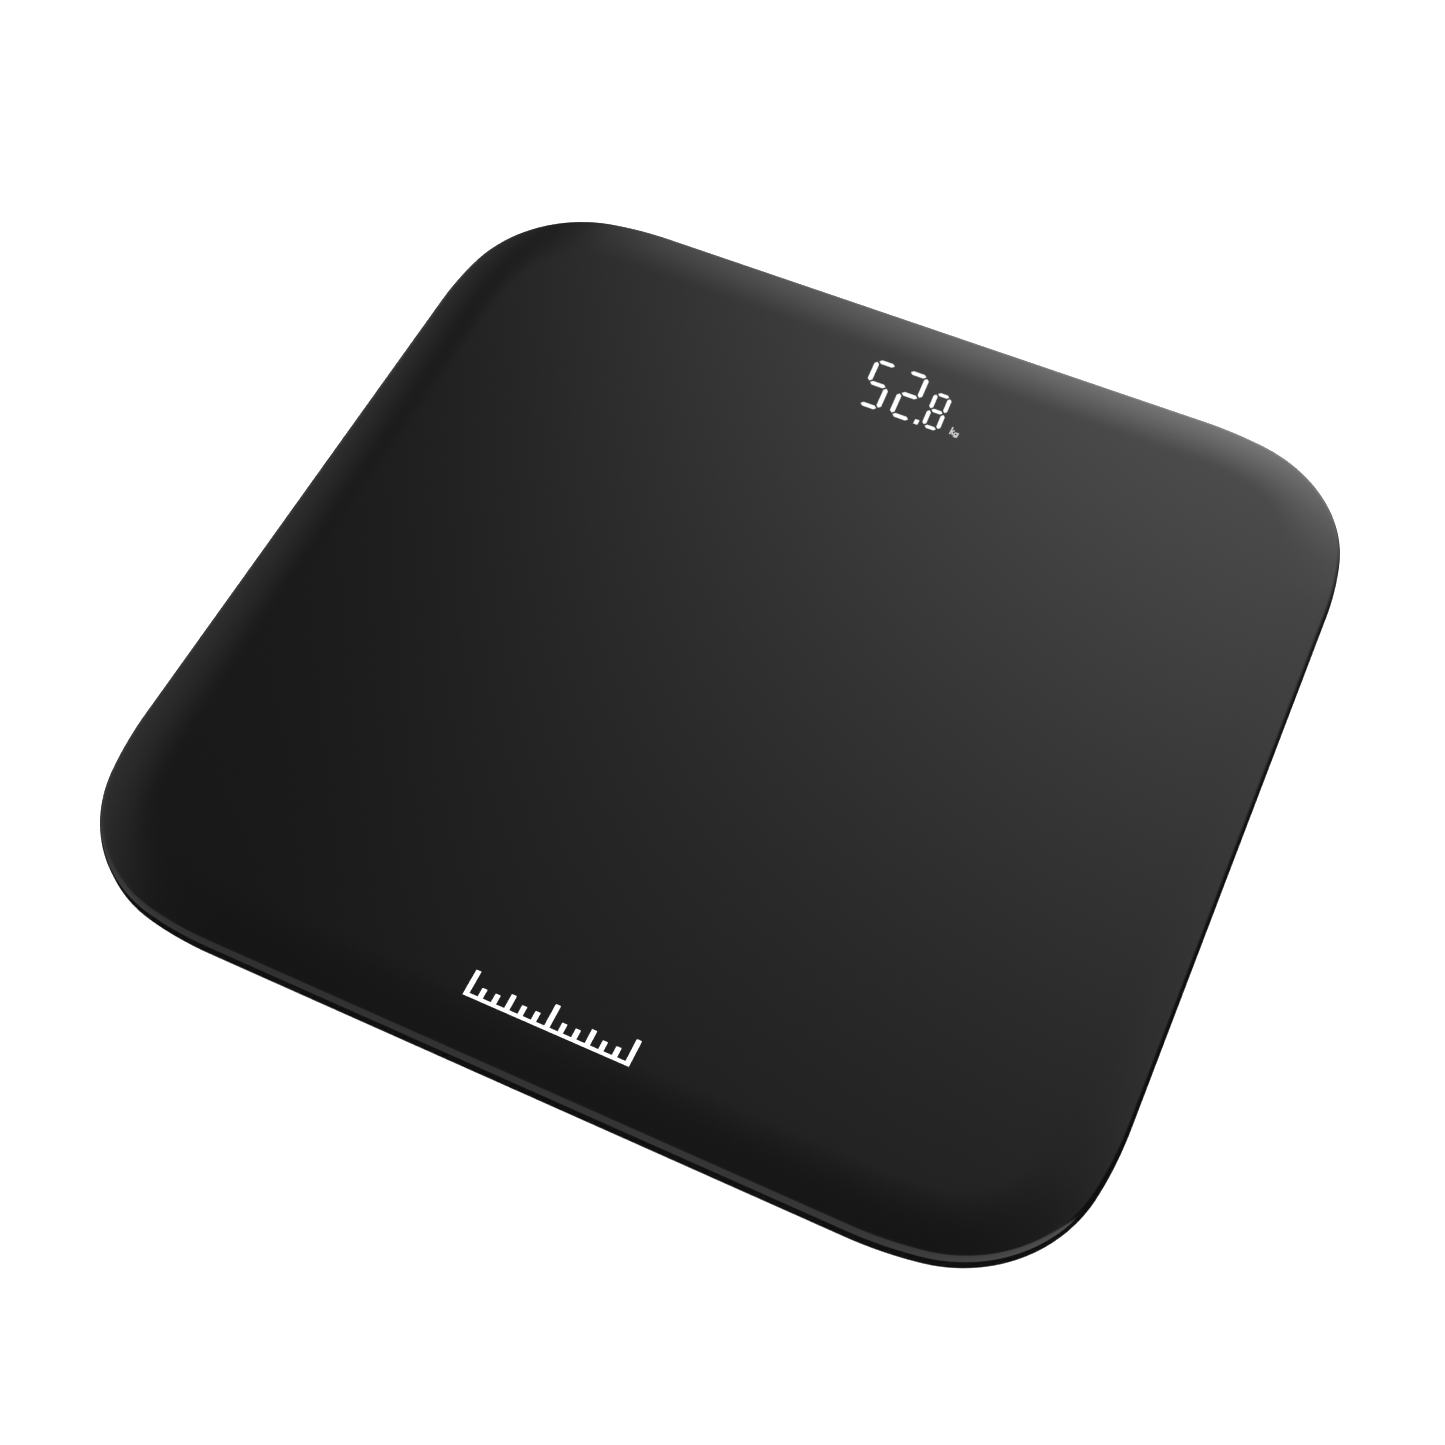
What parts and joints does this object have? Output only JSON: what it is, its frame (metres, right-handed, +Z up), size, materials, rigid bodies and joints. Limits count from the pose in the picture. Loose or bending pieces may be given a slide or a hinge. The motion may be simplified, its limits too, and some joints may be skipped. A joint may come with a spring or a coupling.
{
  "type": "digital bathroom scale",
  "caption": "Thin rounded-square weighing platform in black plastic with a lit digital readout, sprung load-cell feet, underside unit button and hinged battery door.",
  "frame": {"origin": "on the floor plane under the middle of the platform", "axes": "+Z up out of the platform, +Y towards the edge with the readout, +X to the right of a person who reads it"},
  "size_m": [0.29, 0.28, 0.023],
  "materials": {
    "cover_plastic": "satin-gloss black moulded ABS",
    "base_plastic": "fine-textured black moulded ABS",
    "foot_plastic": "moulded black ABS",
    "foot_rubber": "matt black rubber",
    "plated_steel": "nickel-plated pressed steel",
    "white_sealant": "soft white silicone",
    "screw_steel": "zinc-plated steel",
    "contact_metal": "nickel-plated spring steel",
    "battery_can": "printed sleeve on a steel can",
    "circuit_board": "green solder mask on glass epoxy",
    "chip_plastic": "moulded epoxy",
    "chip_ceramic": "fired ceramic",
    "led_chip": "clear epoxy over a white chip",
    "reflector_plastic": "white moulded polycarbonate",
    "black_foam": "closed-cell foam",
    "diffuser_film": "milky polyester film",
    "lit_light": "lit white light guide",
    "unlit_light": "unlit milky light guide",
    "button_plastic": "black moulded ABS",
    "lead_jacket": "coloured PVC jacket",
    "solder": "bright solder"
  },
  "bodies": {
    "platform": {"platform_cover": "cover_plastic", "base_shell": "base_plastic", "battery_cells": "battery_can", "battery_plate_contacts": "contact_metal", "battery_spring_contacts": "contact_metal", "case_screws": "screw_steel", "bracket_screws": "screw_steel", "board_screws": "screw_steel", "gauge_sealant": "white_sealant", "display_reflector": "reflector_plastic", "display_gasket": "black_foam", "diffuser_film": "diffuser_film", "lit_segments": "lit_light", "unlit_segments": "unlit_light", "led_chips": "led_chip", "main_board": "circuit_board", "controller_chip": "chip_plastic", "converter_chip": "chip_plastic", "board_chip_parts": "chip_ceramic", "switch_body": "chip_plastic", "battery_leads": "lead_jacket", "solder_joints": "solder", "load_cell_front_left": "plated_steel", "cell_bracket_front_left": "plated_steel", "sensor_lead_front_left": "lead_jacket", "load_cell_front_right": "plated_steel", "cell_bracket_front_right": "plated_steel", "sensor_lead_front_right": "lead_jacket", "load_cell_back_left": "plated_steel", "cell_bracket_back_left": "plated_steel", "sensor_lead_back_left": "lead_jacket", "load_cell_back_right": "plated_steel", "cell_bracket_back_right": "plated_steel", "sensor_lead_back_right": "lead_jacket"},
    "battery_door": {"battery_door": "base_plastic"},
    "unit_button": {"unit_button": "button_plastic", "switch_plunger": "button_plastic"},
    "foot_front_left": {"foot_cup_front_left": "foot_plastic", "foot_pad_front_left": "foot_rubber"},
    "foot_front_right": {"foot_cup_front_right": "foot_plastic", "foot_pad_front_right": "foot_rubber"},
    "foot_back_left": {"foot_cup_back_left": "foot_plastic", "foot_pad_back_left": "foot_rubber"},
    "foot_back_right": {"foot_cup_back_right": "foot_plastic", "foot_pad_back_right": "foot_rubber"}
  },
  "joints": [
    {"name": "foot_press_front_left", "type": "slide", "parent": "platform", "child": "foot_front_left", "axis": [0, 0, 1], "range_m": [0, 0.0005], "stiffness_N_per_m": 2000, "springref_m": -0.0025, "deforming": ["load_cell_front_left"]},
    {"name": "foot_press_front_right", "type": "slide", "parent": "platform", "child": "foot_front_right", "axis": [0, 0, 1], "range_m": [0, 0.0005], "stiffness_N_per_m": 2000, "springref_m": -0.0025, "deforming": ["load_cell_front_right"]},
    {"name": "foot_press_back_left", "type": "slide", "parent": "platform", "child": "foot_back_left", "axis": [0, 0, 1], "range_m": [0, 0.0005], "stiffness_N_per_m": 2000, "springref_m": -0.0025, "deforming": ["load_cell_back_left"]},
    {"name": "foot_press_back_right", "type": "slide", "parent": "platform", "child": "foot_back_right", "axis": [0, 0, 1], "range_m": [0, 0.0005], "stiffness_N_per_m": 2000, "springref_m": -0.0025, "deforming": ["load_cell_back_right"]},
    {"name": "unit_button_press", "type": "slide", "parent": "platform", "child": "unit_button", "axis": [0, 0, 1], "range_m": [0, 0.0005], "stiffness_N_per_m": 400, "springref_m": -0.0005},
    {"name": "battery_door_hinge", "type": "hinge", "parent": "platform", "child": "battery_door", "pos_m": [-0.02735, 0.008, 0.0042], "axis": [0, 1, 0], "range_deg": [0, 75]}
  ]
}
